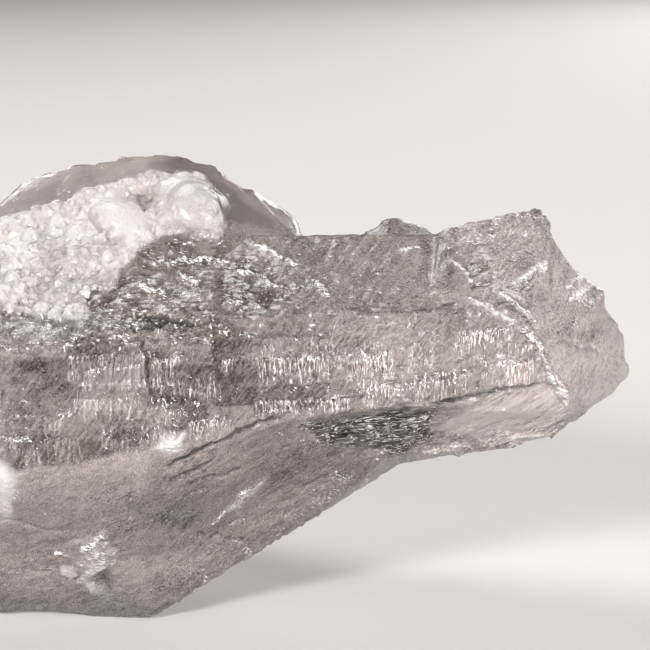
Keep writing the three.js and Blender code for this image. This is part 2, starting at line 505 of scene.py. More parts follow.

# %% [markdown]
# ## Steps and cracks
# A block of the prism on the left stands proud of the rest. Cracks and seams are narrow grooves, which the
# material also paints dark as shade, and the thin pair of lines below the shoulder are the rims of two
# growth layers.

# %% Steps and cracks
STEP = [
    (0.474, 0.578), (0.477, 0.55), (0.479, 0.517), (0.479, 0.488), (0.482, 0.451), (0.487, 0.409),
    (0.489, 0.357), (0.49, 0.307),
]
GROOVES = [
    # path, width in mm, depth in mm
    ([(0.488, 0.303), (0.516, 0.326), (0.544, 0.356), (0.567, 0.381), (0.583, 0.393), (0.595, 0.406),
      (0.624, 0.42)], 0.52, 0.55),
    ([(0.764, 0.437), (0.79, 0.445), (0.811, 0.453), (0.843, 0.468), (0.865, 0.474),
      (0.892, 0.482)], 0.5, 0.4),
    ([(0.681, 0.638), (0.714, 0.643), (0.758, 0.647), (0.802, 0.653)], 0.4, 0.35),
    ([(0.691, 0.63), (0.738, 0.632), (0.779, 0.638), (0.813, 0.641)], 0.4, 0.3),
    ([(0.494, 0.272), (0.509, 0.284), (0.53, 0.302), (0.546, 0.318)], 0.5, 0.4),
    ([(0.474, 0.578), (0.477, 0.55), (0.479, 0.517), (0.479, 0.488), (0.482, 0.451)], 0.48, 0.4),
    ([(0.464, 0.617), (0.477, 0.624), (0.493, 0.624), (0.501, 0.615), (0.517, 0.613),
      (0.537, 0.611)], 0.85, 1.0),
    ([(0.463, 0.593), (0.473, 0.601), (0.487, 0.603), (0.499, 0.609)], 0.8, 1.0),
    ([(0.487, 0.574), (0.502, 0.582)], 0.5, 0.3),
    ([(0.537, 0.619), (0.558, 0.613), (0.57, 0.601)], 0.5, 0.4),
    ([(0.318, 0.194), (0.339, 0.187), (0.359, 0.169), (0.396, 0.171), (0.428, 0.177)], 0.45, 0.34),
    ([(0.308, 0.068), (0.341, 0.072), (0.363, 0.067), (0.379, 0.053), (0.4, 0.053)], 0.45, 0.3),
    ([(0.52, 0.16), (0.54, 0.148), (0.56, 0.138), (0.583, 0.127)], 0.5, 0.42),
    ([(0.503, 0.238), (0.525, 0.253), (0.55, 0.262)], 0.45, 0.36),
    ([(0.505, 0.258), (0.53, 0.278), (0.553, 0.288), (0.575, 0.304)], 0.45, 0.38),
    ([(0.446, 0.3), (0.458, 0.268), (0.467, 0.246)], 0.45, 0.33),
    ([(0.62, 0.243), (0.645, 0.262), (0.668, 0.287)], 0.45, 0.33),
    ([(0.414, 0.004), (0.431, 0.01), (0.456, 0.008)], 0.5, 0.25),
]
away, side, _ = beside(STEP, fine_plane, 40)
proud = ramp(away * side, 0.25, -0.25) * ramp(share, 0.30, 0.36) * np.maximum(front, 0.7 * shoulder)
proud *= ramp(rise, 0.62, 0.58)
relief += 0.55 * proud
cracks = np.zeros(len(points))
for path, width, deep in GROOVES:
    cut = groove(path, fine_plane, width)
    relief -= deep * cut
    # the grooves are also painted dark in the colour, as shade in the cracks
    cracks = np.maximum(cracks, np.minimum(1.6 * cut, 1) * min(1, deep / 0.45))
print("grooves:", len(GROOVES))

# %% [markdown]
# ## Ripples and ledges on the fractures
# Quartz breaks like thick glass, in shells, and the break leaves fine ripples that run across its path.
# On the shoulder they climb to the right, and under the crest they pile up into rough ledges that
# glitter.


# %% Ripples
def rippled(direction, across, long, seed, warp=0.5):
    """Sharp ripples that run along a direction, this far apart and about this long."""
    run = np.array(direction, float)
    run /= np.linalg.norm(run)
    sideways = np.cross(facing, run)
    sideways /= np.maximum(np.linalg.norm(sideways, axis=1), 1e-6)[:, None]
    place = np.stack([points @ run / long, (points * sideways).sum(1) / across, points @ run * 0], -1)
    place[:, 1] += warp * clouds(points, 5, seed, 2)
    return ridges(clouds(place, 1, seed + 3, 2)) ** 2


# %% The shoulder, the notch under the crest, and the underside
NOTCH = [
    (0.464, 0.771), (0.471, 0.784), (0.486, 0.802), (0.515, 0.802), (0.545, 0.787), (0.569, 0.774),
    (0.593, 0.74), (0.623, 0.696), (0.634, 0.657), (0.604, 0.619), (0.573, 0.578), (0.533, 0.57),
    (0.482, 0.57), (0.451, 0.584), (0.427, 0.636), (0.421, 0.657), (0.437, 0.692), (0.454, 0.74),
]
# the shoulder has ripples that climb to the right, and the notch under the crest has heaped ledges
notch = patch(NOTCH, rough_plane, 1.2)
climbing = rippled((0.5, 0.78, 0.38), 1.3, 7, 51)
fine_climbing = rippled((0.55, 0.75, 0.38), 0.75, 3.5, 52)
ledges = rippled((1, -0.1, 0.05), 1.25, 5, 55, 1.0)
low_ledges = ledges * ramp(rise, 0.68, 0.6)
relief += shoulder * (1 - notch) * (0.12 * climbing + 0.17 * fine_climbing)
relief += notch * (0.35 * ledges + 0.5 * low_ledges + 0.15 * clouds(points, 1.6, 57, 2) - 0.3)
# a crumbled fringe lies between the crust and the striated face, and further right the shoulder's ripples
# run on over the face's upper edge
fringe_band = ahead * plateau(rise, 0.54, 0.57, 0.63, 0.66) * ramp(share, 0.48, 0.45)
relief += fringe_band * (0.5 * ledges + 0.35 * clouds(points, 1.3, 58, 2) - 0.25)
climb_on_face = ramp(rise, 0.55, 0.6) * front * ramp(share, 0.6, 0.7)
relief += climb_on_face * (0.1 * climbing + 0.1 * fine_climbing)
# the underside has parallel ripples and a crumbling rim, and every other break has shells
parallel = rippled((0.86, 0.1, 0.5), 1.3, 6, 59)
relief += 0.12 * underside * parallel * ramp(share, 0.45, 0.5) * ramp(rise, 0.32, 0.26)
LOWER_RIM = [(0.467, -0.049), (0.743, 0.295)]
rim = underside * ramp(rise - line(LOWER_RIM, share), 0.13, 0.06) * ramp(share, 0.47, 0.5)
relief += 0.25 * rim * clouds(points, 1.5, 61, 2)
shells = rippled((0.2, 0.1, 1), 2.4, 12, 63)
fracture = (1 - front) * (1 - shoulder) * (1 - underside) * (1 - sole) * (1 - 0.6 * tip)
relief += 0.2 * fracture * shells * (1 - 0.8 * calm)
print("rippled vertices:", int((shoulder + notch + underside + fracture > 0.5).sum()))

# %% [markdown]
# ## Chips along the breaks
# Where a shell of the break ends, the quartz splinters into a row of chips, and each chip throws the
# light about, so that the row looks white. Each chain is a low bank along a path, cut into chips by a
# pattern of cells. The same mask later tells the material where to paint glints: white specks in the
# colour, as painted highlights on the chips. Modelled chips would be sharper, but there are hundreds.

# %% Chains of bright chips
CHAINS = [
    # path, width in mm, height in mm
    ([(0.474, 0.74), (0.5, 0.74), (0.527, 0.749), (0.55, 0.74), (0.558, 0.733)], 0.9, 0.5),
    ([(0.504, 0.718), (0.517, 0.711), (0.529, 0.69)], 0.9, 0.45),
    ([(0.562, 0.722), (0.586, 0.711), (0.602, 0.689), (0.62, 0.679)], 1.0, 0.5),
    ([(0.461, 0.69), (0.477, 0.683), (0.494, 0.67)], 0.8, 0.55),
    ([(0.577, 0.79), (0.592, 0.772), (0.612, 0.749), (0.634, 0.727)], 0.7, 0.35),
    ([(0.644, 0.705), (0.657, 0.683), (0.663, 0.657)], 0.9, 0.4),
    ([(0.74, 0.762), (0.755, 0.772), (0.773, 0.767)], 0.7, 0.3),
    ([(0.556, 0.657), (0.567, 0.651), (0.578, 0.657)], 0.9, 0.45),
    ([(0.793, 0.748), (0.804, 0.726), (0.812, 0.704), (0.816, 0.679)], 0.6, 0.35),
    ([(0.857, 0.686), (0.872, 0.709), (0.887, 0.725), (0.9, 0.739)], 1.3, 0.5),
    ([(0.806, 0.664), (0.819, 0.651), (0.832, 0.641), (0.844, 0.624)], 0.95, 0.45),
    ([(0.84, 0.683), (0.849, 0.664), (0.862, 0.641), (0.875, 0.62), (0.881, 0.603)], 0.9, 0.5),
    ([(0.858, 0.603), (0.868, 0.592), (0.875, 0.582), (0.885, 0.548), (0.894, 0.51), (0.907, 0.477),
      (0.915, 0.448), (0.922, 0.426)], 1.35, 0.7),
    ([(0.923, 0.657), (0.936, 0.673), (0.954, 0.696)], 1.2, 0.45),
    ([(0.919, 0.685), (0.93, 0.703), (0.944, 0.714)], 1.1, 0.4),
    ([(0.533, 0.163), (0.545, 0.188), (0.556, 0.21), (0.57, 0.24), (0.585, 0.259),
      (0.604, 0.284)], 0.5, 0.25),
    ([(0.327, 0.369), (0.339, 0.367), (0.353, 0.372), (0.359, 0.365)], 0.5, 0.3),
    ([(0.398, 0.112), (0.41, 0.137), (0.421, 0.154), (0.427, 0.17)], 0.8, 0.4),
    ([(0.371, 0.118), (0.379, 0.112), (0.385, 0.104)], 0.6, 0.3),
    ([(0.434, 0.128), (0.437, 0.108), (0.432, 0.086)], 0.6, 0.35),
]
broken, second, _ = cells(points, 0.9, 321)
chip = ramp(second - broken, 0.02, 0.25)
# where the material will paint glints, white specks that stand in for light on the chips
bright = np.zeros(len(points))
for path, width, tall in CHAINS:
    band = groove(path, fine_plane, width)
    relief += tall * band * (0.35 + 0.65 * chip)
    bright = np.maximum(bright, band)
print("chains of chips:", len(CHAINS))

# %% [markdown]
# ## The broken tip
# The tip has lost its point. It has a ledge on top, valleys between the shells of the break, and bruises
# where the quartz is crushed to white. The valleys are real grooves, and a mask also paints shade into
# them, a painted shade for the darkness of looking down into the clear stone. The bruises also get painted
# glints.

# %% The tip: its ledge, its valleys and its bruises
LEDGE = [
    (0.782, 0.82), (0.816, 0.83), (0.854, 0.845), (0.892, 0.86), (0.91, 0.82), (0.891, 0.807),
    (0.847, 0.795), (0.815, 0.775), (0.788, 0.766),
]
VALLEYS = [
    # path, width in mm, depth in mm
    ([(0.835, 0.677), (0.848, 0.651), (0.861, 0.635), (0.872, 0.616), (0.883, 0.59)], 0.65, 0.45),
    ([(0.877, 0.568), (0.885, 0.538), (0.891, 0.509), (0.898, 0.475), (0.906, 0.451)], 0.55, 0.35),
    ([(0.806, 0.721), (0.817, 0.737), (0.83, 0.75)], 0.9, 0.5),
    ([(0.808, 0.705), (0.822, 0.72), (0.834, 0.73)], 0.9, 0.5),
    ([(0.812, 0.681), (0.824, 0.694), (0.836, 0.701)], 1.2, 0.5),
    ([(0.784, 0.775), (0.796, 0.777), (0.806, 0.782)], 0.8, 0.4),
    ([(0.843, 0.679), (0.857, 0.69), (0.871, 0.699), (0.889, 0.719)], 0.5, 0.35),
    ([(0.894, 0.558), (0.909, 0.569), (0.934, 0.557), (0.962, 0.55)], 0.8, 0.25),
]
ledge_area = patch(LEDGE, fine_plane, 0.4)
streaks = rippled((1, 0, 0.25), 0.9, 6, 67)
relief += ledge_area * (0.55 + 0.25 * streaks)
# painted shade: the valleys, and later the hollow and the scallop, are drawn dark in the colour
dark = np.zeros(len(points))
for path, width, deep in VALLEYS:
    cut = groove(path, fine_plane, width)
    relief -= deep * cut
    dark = np.maximum(dark, min(0.9, 1.8 * deep) * cut)
tip_ripples = rippled((0.75, 0, 0.65), 0.9, 4, 69, 1.2)
relief += tip * ahead * 0.1 * tip_ripples
TIP_SHADE = [(0.9, 0.594), (0.928, 0.603), (0.96, 0.594), (0.963, 0.563), (0.934, 0.56), (0.909, 0.573)]
TIP_SPARKLE = [
    (0.917, 0.646), (0.927, 0.692), (0.943, 0.716), (0.953, 0.701), (0.963, 0.683), (0.948, 0.653),
    (0.929, 0.638),
]
GLEAMS = [
    # bright bruises: outline and how white
    ([(0.803, 0.664), (0.818, 0.658), (0.835, 0.642), (0.852, 0.622), (0.864, 0.603), (0.856, 0.609),
      (0.838, 0.625), (0.82, 0.645)], 0.65),
    ([(0.846, 0.685), (0.852, 0.673), (0.862, 0.66), (0.868, 0.662), (0.858, 0.676), (0.85, 0.69)], 0.7),
    ([(0.864, 0.704), (0.878, 0.714), (0.893, 0.733), (0.898, 0.742), (0.893, 0.744),
      (0.88, 0.728)], 0.8),
    ([(0.932, 0.668), (0.946, 0.684), (0.956, 0.7), (0.95, 0.704), (0.938, 0.688), (0.93, 0.676)], 0.8),
    ([(0.932, 0.7), (0.945, 0.706), (0.944, 0.718), (0.934, 0.716)], 0.7),
    ([(0.546, 0.19), (0.553, 0.2), (0.566, 0.228), (0.58, 0.252), (0.6, 0.275), (0.596, 0.262),
      (0.578, 0.235), (0.562, 0.208)], 0.6),
    ([(0.392, 0.04), (0.399, 0.074), (0.414, 0.094), (0.424, 0.088), (0.41, 0.07), (0.402, 0.042)], 0.8),
]
gleam = np.zeros(len(points))
for outline, white in GLEAMS:
    gleam = np.maximum(gleam, white * patch(outline, fine_plane, 0.4) * (0.45 + 0.55 * chip))
# the bruises get painted glints as well
bright = np.maximum(bright, gleam)
tip_shade = patch(TIP_SHADE, rough_plane, 1.6)
tip_sparkle = patch(TIP_SPARKLE, rough_plane, 0.8)
print("valleys:", len(VALLEYS), "bruises:", len(GLEAMS))

# %% [markdown]
# ## The hollow under the prism
# Below the striated face is a hollow full of thin winding ridges, as if someone had scribbled in it, with
# a clean facet and a layered edge on its right. Ridged noise, stretched along the stone, makes both the
# scribble and the layers. Drawn one by one, the ridges would take dozens of paths. The hollow is painted
# dark as shade, and thin pale lines are painted over it as highlights.

# %% The scribbled hollow and the layered edge
SCRIBBLE = [
    (0.634, 0.407), (0.665, 0.415), (0.692, 0.41), (0.718, 0.423), (0.748, 0.435), (0.78, 0.443),
    (0.792, 0.441), (0.781, 0.421), (0.769, 0.394), (0.783, 0.365), (0.773, 0.346), (0.747, 0.322),
    (0.724, 0.322), (0.703, 0.336), (0.681, 0.346), (0.653, 0.361), (0.634, 0.379),
]
SMOOTH_FACET = [
    (0.772, 0.375), (0.792, 0.403), (0.823, 0.436), (0.865, 0.454), (0.909, 0.466), (0.922, 0.433),
    (0.912, 0.408), (0.881, 0.386), (0.848, 0.375), (0.816, 0.369),
]
LAYERED = [
    (0.755, 0.30), (0.772, 0.37), (0.816, 0.366), (0.848, 0.372), (0.881, 0.383), (0.912, 0.405),
    (0.94, 0.43), (0.95, 0.40), (0.9, 0.34), (0.84, 0.30),
]
scribble = patch(SCRIBBLE, rough_plane, 0.8)
scrawl = rippled((1, 0, 0.18), 1.1, 4.5, 71, 1.6)
relief += scribble * (0.8 * scrawl + 0.3 * clouds(points, 1.2, 73, 2) - 0.5)
layered = patch(LAYERED, rough_plane, 0.8)
layers = rippled((1, 0, 0.3), 1.5, 8, 75, 0.9)
relief += layered * (0.8 * layers - 0.4)
smooth = patch(SMOOTH_FACET, fine_plane, 0.4)
# painted shade over the whole hollow, a little lighter on the ridges of the scribble
dark = np.maximum(dark, scribble * (0.84 + 0.16 * ramp(scrawl, 0.75, 0.45)))
print("hollow and edge:", int(scribble.sum()), int(layered.sum()), "vertices")

# %% [markdown]
# ## The lower left
# Here lies the cleanest break of the stone, a large glossy shell. Beside it are a crumbled patch, a
# scallop bitten out of the lower edge, a white chip, and two milky places where bubbles lie just under
# the surface. Rubble is a pattern of round cells; the milky places are only masks, because their surface
# is smooth.

# %% A glossy shell, a crumbled patch and a scallop
GLOSSY = [
    (0.1, 0.29), (0.326, 0.294), (0.388, 0.305), (0.45, 0.33), (0.481, 0.343), (0.479, 0.281),
    (0.446, 0.237), (0.435, 0.173), (0.38, 0.169), (0.35, 0.187), (0.318, 0.194), (0.12, 0.2),
]
CRUMBLED = [
    (0.392, 0.093), (0.41, 0.133), (0.427, 0.157), (0.436, 0.121), (0.431, 0.083), (0.418, 0.069),
    (0.406, 0.061), (0.396, 0.073),
]
SCALLOP = [(0.398, 0.036), (0.413, 0.074), (0.429, 0.078), (0.436, 0.044), (0.424, 0.014), (0.406, 0.019)]
WHITE_CHIP = [(0.375, 0.082), (0.388, 0.083), (0.395, 0.061), (0.384, 0.05), (0.376, 0.063)]
MILKY_SPOT = [
    (0.486, 0.347), (0.489, 0.368), (0.496, 0.38), (0.507, 0.374), (0.518, 0.382), (0.512, 0.363),
    (0.516, 0.346), (0.505, 0.338), (0.494, 0.336),
]
MILKY_LEFT = [
    (0.29, 0.335), (0.32, 0.34), (0.334, 0.313), (0.34, 0.283), (0.337, 0.243), (0.33, 0.21),
    (0.31, 0.185), (0.27, 0.2), (0.235, 0.235), (0.225, 0.27), (0.25, 0.31),
]
glossy = patch(GLOSSY, rough_plane, 0.8)
crumbled = patch(CRUMBLED, fine_plane, 0.6)
scallop = patch(SCALLOP, fine_plane, 0.8)
white_chip = patch(WHITE_CHIP, fine_plane, 0.4)
rubble, _, _ = cells(points, 1.4, 77)
relief += crumbled * 0.6 * (1 - rubble**2)
relief += white_chip * 0.5 * (1 - rubble**2)
scallop_depth = inside(SCALLOP, fine_plane)
relief -= 1.6 * ramp(scallop_depth, -0.2, 1.8) * ahead
scallop_rim = ahead * plateau(scallop_depth, -0.5, 0, 0.3, 0.9) * ramp(share, 0.43, 0.4)
scallop_shadow = scallop * ramp(share, 0.4, 0.42) * ramp(clouds(points, 1.4, 79, 2), -0.4, 0.3)
dark = np.maximum(dark, 0.6 * scallop_shadow)

# %% Milky places
spot_middle = drawn([(0.503, 0.348)])[0]
spokes = np.arctan2(flat[:, 1] - spot_middle[1], x - spot_middle[0])
# a star of short white rays
burst = ramp(clouds(np.stack([spokes, spokes * 0, spokes * 0], -1), 0.25, 78, 2), -0.4, 0.5)
milk = patch(MILKY_SPOT, fine_plane, 0.6) * (0.4 + 0.5 * burst)
# the milky spot gets painted glints as well
bright = np.maximum(bright, milk)
left_cloud = patch(MILKY_LEFT, ragged_plane(2.6, 1.5, 331), 1.0)
left_cloud *= ramp(clouds(points, 2.2, 79, 3), -0.6, 0.3)
bright = np.maximum(bright, 0.3 * left_cloud)
left_core = patch(MILKY_LEFT, rough_plane, 1.2) * ramp(share, 0.312, 0.33)
milk = np.maximum.reduce([milk, 0.55 * left_cloud, 0.9 * left_core, gleam])
milk = np.maximum.reduce([milk, 0.6 * white_chip, 0.15 * crumbled, 0.5 * scallop_rim])
rough_low = (1 - glossy) * (1 - front) * ahead * ramp(share, 0.5, 0.42) * ramp(rise, 0.3, 0.2)
relief += rough_low * (0.3 * clouds(points, 2.2, 83, 2) + 0.25 * rippled((1, 0, 0.3), 1.6, 7, 85))
print("milky vertices:", int((milk > 0.3).sum()))

# %% [markdown]
# ## The milky crust
# The white crust is a skin of small stunted crystals. Its two big lobes and its lumps are modelled here,
# in the stone's own surface; its single grains come later as a mesh of their own.

# %% The crust and its two lobes
CRUST = [
    (0.07, 0.68), (0.12, 0.74), (0.2, 0.78), (0.26, 0.81), (0.307, 0.835), (0.328, 0.85), (0.349, 0.868),
    (0.37, 0.88), (0.392, 0.888), (0.408, 0.902), (0.421, 0.92), (0.439, 0.935), (0.473, 0.935),
    (0.489, 0.945), (0.505, 0.95), (0.522, 0.94), (0.531, 0.932), (0.54, 0.892), (0.547, 0.851),
    (0.555, 0.819), (0.553, 0.794), (0.544, 0.787), (0.531, 0.796), (0.515, 0.802), (0.499, 0.804),
    (0.485, 0.802), (0.477, 0.795), (0.471, 0.784), (0.464, 0.771), (0.461, 0.753), (0.454, 0.74),
    (0.445, 0.725), (0.437, 0.692), (0.428, 0.675), (0.416, 0.66), (0.415, 0.634), (0.41, 0.613),
    (0.39, 0.607), (0.368, 0.611), (0.344, 0.624), (0.323, 0.628), (0.27, 0.61), (0.18, 0.62),
    (0.1, 0.61),
]
RIGHT_LOBE = [
    (0.475, 0.829), (0.473, 0.861), (0.477, 0.884), (0.478, 0.909), (0.484, 0.933), (0.499, 0.947),
    (0.514, 0.936), (0.529, 0.924), (0.54, 0.887), (0.547, 0.851), (0.555, 0.819), (0.553, 0.796),
    (0.545, 0.789), (0.532, 0.798), (0.515, 0.802), (0.499, 0.804), (0.486, 0.802), (0.478, 0.807),
]
LEFT_LOBE = [
    (0.45, 0.875), (0.441, 0.898), (0.43, 0.907), (0.422, 0.902), (0.414, 0.884), (0.401, 0.87),
    (0.395, 0.852), (0.404, 0.836), (0.415, 0.824), (0.427, 0.808), (0.435, 0.782), (0.445, 0.769),
    (0.458, 0.769), (0.466, 0.782), (0.473, 0.8), (0.475, 0.829), (0.465, 0.855),
]
DIMPLE = [
    (0.445, 0.898), (0.457, 0.914), (0.471, 0.916), (0.478, 0.902), (0.477, 0.879), (0.472, 0.856),
    (0.465, 0.851), (0.455, 0.865),
]
crust = patch(CRUST, rough_plane, 0.5)
right_lobe = ramp(inside(RIGHT_LOBE, flat), -0.15, 2.4) ** 0.6 * ahead
left_lobe = ramp(inside(LEFT_LOBE, fine_plane), -0.2, 2.4) ** 0.6 * ahead
lobes = np.maximum(right_lobe, left_lobe)
dimple = ramp(inside(DIMPLE, fine_plane), -0.6, 1.2) * ahead
relief += 1.5 * right_lobe + 1.2 * left_lobe - 1.3 * dimple
print("crust covers", int((crust > 0.5).sum()), "vertices")

# %% Lumps of two sizes, whitest on top and clearer in the seams between them
swollen = clouds(points, 0.7, 94) * 0.25
lump, gap, _ = cells(points + swollen[:, None], 2.6, 73)
small, small_gap, _ = cells(points + swollen[:, None], 1.35, 75)
lumps = 0.75 * ramp(gap - lump, 0, 0.5) + 0.2 * ramp(small_gap - small, 0, 0.5)
lumps += 0.15 * clouds(points, 0.9, 76)
relief += crust * (lumps * (1 - 0.8 * lobes) - 0.1)
seams = 0.65 * ramp(gap - lump, 0, 0.3) + 0.35 * ramp(small_gap - small, 0, 0.3)
whitened = ramp(seams + 0.8 * clouds(points, 5, 93, 2) + 0.25 * clouds(points, 1.2, 92), 0.1, 1.15)
whitened = crust * (0.55 + 0.5 * whitened) * (1 - 0.7 * dimple)
whitened = np.maximum(whitened, lobes**0.5 * (0.7 + 0.2 * left_lobe) * (1 - 0.7 * dimple))
print("mean whiteness of the crust:", whitened[crust > 0.5].mean().round(2))

# %% [markdown]
# ## Worn edges
# The sharp edges of quartz chip as it knocks about. A vertex on an edge stands out from the middle of its
# neighbours, so this one measure finds every edge, and they are all taken down unevenly. A bevel would do
# it in one step, but as evenly as on a machined part.

# %% Worn and chipped edges
lift = ((spread(points, 1) - points) * normals).sum(1)
edge = spread(ramp(-lift, 0.03, 0.16), 1)
chips = ramp(clouds(points, 2.4, 81, 2), -0.1, 0.6)
relief -= edge * (0.1 + 0.5 * chips) * (1 - crust) * (1 - calm)
print("on worn edges:", int((edge > 0.5).sum()), "vertices")

# %% [markdown]
# ## All the relief at once
# The heights are now added up along smoothed normals. The sole stays flat, because the stone rests on it.
# Three places are smoothed again afterwards: the saddle by the tip, the flank of the right lobe, and the
# lobes themselves, which swell so far that their rims would fold.

# %% Move the vertices
relief *= ramp(z, 0.0, 1.2)
moved = points + normals * relief[:, None]
saddle = ahead * plateau(share, 0.73, 0.75, 0.79, 0.82) * plateau(rise, 0.65, 0.69, 0.8, 0.83) * 0.6
lobe_side = ahead * plateau(share, 0.545, 0.55, 0.57, 0.58) * ramp(rise, 0.78, 0.8)
smoothed = np.maximum.reduce([saddle, lobe_side, 0.9 * lobes])
moved += smoothed[:, None] * (spread(moved, 20) - moved)
moved = np.clip(moved, low, high)
stone_mesh.vertices.foreach_set("co", (moved * MM).ravel())
stone_mesh.update()
print("relief, mm:", relief.min().round(2), "to", relief.max().round(2))

# %% [markdown]
# ## What each vertex tells the material
# The stone is clear, frosted, crusted, cracked and bruised in different places, and one material has to
# show them all. So each vertex stores a few numbers, mostly from 0 to 1, that the material reads by name.
# Painted images could do the same, but they need an unwrapped mesh, and they would not follow the solid
# when it changes.
#
# The tone says how pale the stone looks. It starts even, each mask pulls it towards its own value, and
# then the plates, ticks and ripples vary it. The teeth of the ticks are painted paler as highlights, and
# the ripples and ledges are painted paler on their crests and darker between them, as light and shade.


# %% Tone
DULL_PATCH = [(0.487, 0.19), (0.5, 0.215), (0.53, 0.205), (0.548, 0.165), (0.53, 0.14), (0.495, 0.15)]
HOLLOW_PATCH = [(0.59, 0.35), (0.68, 0.37), (0.71, 0.31), (0.66, 0.24), (0.6, 0.24)]
saddle_shade = ahead * plateau(share, 0.755, 0.77, 0.79, 0.8) * plateau(rise, 0.67, 0.69, 0.79, 0.81)
TONES = [
    # mask and how pale the stone looks there, from 0 (dark) to 1
    (front, 0.22),
    (front * ramp(share, 0.66, 0.74), 0.34),
    (ahead * plateau(rise, 0.55, 0.57, 0.63, 0.66) * ramp(share, 0.47, 0.43), 0.22),
    (front * ramp(share, 0.486, 0.478), 0.25),
    (front * ramp(share, 0.486, 0.478) * ramp(rise, 0.4, 0.36), 0.02),
    (front * ramp(rise, 0.57, 0.6), 0.28),
    (shoulder * (1 - notch), 0.34),
    (shoulder * (1 - notch) * ramp(share, 0.7, 0.78), 0.46),
    (notch, 0.27),
    (underside * ramp(share, 0.45, 0.5), 0.36),
    (saddle_shade, 0.2),
    (patch(DULL_PATCH, rough_plane, 2.5), 0.32),
    (patch(HOLLOW_PATCH, rough_plane, 3), 0.22),
    (glossy, 0.52),
    (tip * ahead, 0.75),
    (tip * ahead * ramp(share, 0.93, 0.99), 0.95),
    (tip * ahead * ramp(nz, 0.3, 0.7), 0.5),
    (tip_shade, 0.5),
    (ledge_area, 0.5),
    (smooth, 1.0),
    (layered, 0.5),
    (calm * ramp(share, 0.5, 0.45), 0.93),
    (calm * ramp(share, 0.5, 0.55), 0.56),
]
tone = 0.62 - 0.1 * ahead * (1 - tip)
for mask, value in TONES:
    tone += mask * (value - tone)
plate_tone = 0.2 * (large_plates - 0.5) + 0.19 * (small_plates - 0.5)
patchy = 1 - 0.6 * ramp(rise, 0.52, 0.56) * ramp(share, 0.55, 0.62)  # the upper right of the face is calmer
tone += front * (patchy * plate_tone - 0.05 * sunken)
# painted highlights: the teeth of each comb are drawn paler, as if their steps were lit
tone += front * 0.4 * teeth * (1 - sunken) * np.minimum(2 * ticks, 1)
tone += 0.06 * clouds(points, 7, 95, 2) + (0.08 - 0.04 * front) * patchy * clouds(points, 1.6, 96, 3)
# painted light and shade: ripples and ledges are drawn paler on their crests and darker between them
tone += 0.15 * shoulder * (climbing - 0.65) + 0.3 * notch * (ledges - 0.5)
tone += 0.12 * tip * (streaks - 0.6) + 0.3 * tip * ahead * (tip_ripples - 0.6)
tone += 0.18 * underside * (parallel - 0.6) + 0.2 * fracture * (1 - calm) * (shells - 0.6)
print("tone on the face:", tone[front > 0.5].mean().round(2))

# %% [markdown]
# Three more finishes depend on where the stone broke and where it grew. Broken shells are glossy, grown
# faces are frosted with fine steps, and hair lines, a painted highlight beside a painted shade line, run
# over both. Combs of growth lines show only in the rows of ticks, and faintly on some plates. Rough and
# crushed
# places glitter: the bump gets facets there, and the colour gets painted glints.


# %% Ticks, gloss, frost, hair lines and glitter
combed_plates = ramp(small_plates, 0.4, 0.7) * ramp(large_plates, 0.2, 0.5) * ramp(rise, 0.6, 0.55)
ticks = np.maximum(ticks * (0.6 + 0.4 * small_plates), 0.25 * combed_plates) * (1 - 0.85 * sunken)
ticks *= 1 - 0.65 * ramp(share, 0.5, 0.47)
tip_front = tip * ahead
polished = (0.85 - 0.6 * ahead) * (1 - front) * (1 - shoulder)
polished *= (1 - tip_front) * (1 - layered) * (1 - rough_low)
polished = np.maximum.reduce([polished, 0.7 * front, 0.2 * shoulder, 0.2 * tip_front])
polished = np.maximum.reduce([polished, 0.5 * smooth, 0.65 * notch, 0.8 * calm])
frosted = 0.1 + 0.6 * front + 0.6 * tip_front + 0.2 * smooth + 0.2 * shoulder
frosted += 0.3 * underside + 0.15 * glossy + 0.1 * calm
hairs = 0.6 * underside * ramp(share, 0.4, 0.5) + 0.6 * shoulder * (1 - notch) + 0.6 * tip_front
hairs += 0.5 * smooth + 0.35 * glossy + 0.6 * rough_low + 0.4 * front * ramp(share, 0.55, 0.7)
hairs *= ramp(clouds(points, 5, 97, 2), -0.7, 0.3)
brown = 0.5 * notch + 0.8 * dimple + 0.5 * ramp(clouds(points, 14, 91, 2), 0.1, 0.8)
# glitter: facets in the bump, and how many painted glints the colour gets
glitter = 0.5 * tip_sparkle + 0.24 * notch + 0.1 * shoulder + 0.7 * crumbled
glitter += 0.2 * fringe_band + 0.25 * ledge_area + 0.1 * tip + 0.35 * rim
glitter = np.maximum(1.4 * bright, glitter) * (1 - calm)


# %% Store them, and make the stone
def stored(mesh, name, values):
    """A number for each vertex, which a material can read by name."""
    mesh.attributes.new(name, "FLOAT", "POINT").data.foreach_set("value", values.astype(np.float32))


def added(name, mesh, sharp_angle=None):
    """Adds an object whose edges stay sharp where its faces turn by more than this many degrees."""
    mesh.shade_smooth()
    if sharp_angle:
        mesh.set_sharp_from_angle(angle=math.radians(sharp_angle))
    made = bpy.data.objects.new(name, mesh)
    bpy.context.scene.collection.objects.link(made)
    return made


marks = {
    "crust": whitened,  # white crystals grown on the stone
    "tone": np.clip(tone, 0, 1),  # how pale the stone is, with painted highlights on the ticks and painted light and shade on the ripples
    "milk": milk,  # white from bubbles or crushed quartz
    "dark": np.clip(dark, 0, 1),  # painted shade in the valleys, the hollow and the scallop
    # painted shade in the cracks and seams
    "cracks": cracks,
    "brown": np.clip(brown, 0, 1),  # browner in the notch, the dimple and broad patches
    "glitter": np.clip(glitter, 0, 1.4),
    "glossy": np.clip(polished * (1 - crust), 0, 1),
    "frosted": np.clip(frosted, 0, 0.75),
    "hairs": np.clip(hairs, 0, 1),
    "ticks": ticks * front,
}
for name, values in marks.items():
    stored(stone_mesh, name, values)
stone = added("rock_crystal", stone_mesh, sharp_angle=35)
print("numbers at each vertex:", len(marks))

